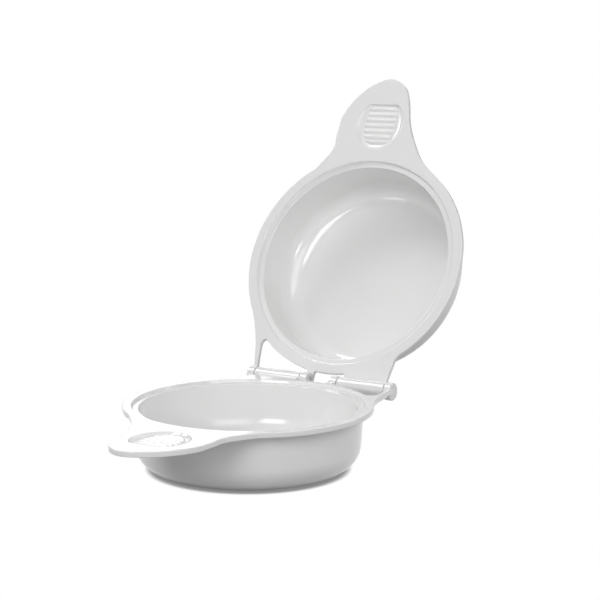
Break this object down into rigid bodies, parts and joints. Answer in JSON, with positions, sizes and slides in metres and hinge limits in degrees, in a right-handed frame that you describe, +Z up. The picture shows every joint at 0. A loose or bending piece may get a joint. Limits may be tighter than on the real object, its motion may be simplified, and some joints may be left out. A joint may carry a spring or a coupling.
{
  "type": "hinged egg cooker",
  "caption": "Round white plastic microwave egg cooker: two shallow cups hinged rim to rim, each with a ribbed thumb tab, shown with the lid open.",
  "frame": {"origin": "centre of the base cup's flat underside", "axes": "+Z up, +X along the hinge axis, and -Y towards the front, where the thumb tabs point"},
  "size_m": [0.1128, 0.2334, 0.1661],
  "materials": {
    "base_plastic": "smooth white moulded polypropylene",
    "lid_plastic": "smooth white moulded polypropylene",
    "pin_plastic": "smooth white moulded polypropylene"
  },
  "bodies": {
    "base": {"base_cup": "base_plastic", "hinge_pin_right": "pin_plastic"},
    "lid": {"lid_cup": "lid_plastic", "hinge_pin_left": "pin_plastic"}
  },
  "joints": [
    {"name": "lid_hinge", "type": "hinge", "parent": "base", "child": "lid", "pos_m": [0.0009, 0.0618, 0.0267], "axis": [1, 0, 0], "range_deg": [0, 116.6]}
  ]
}
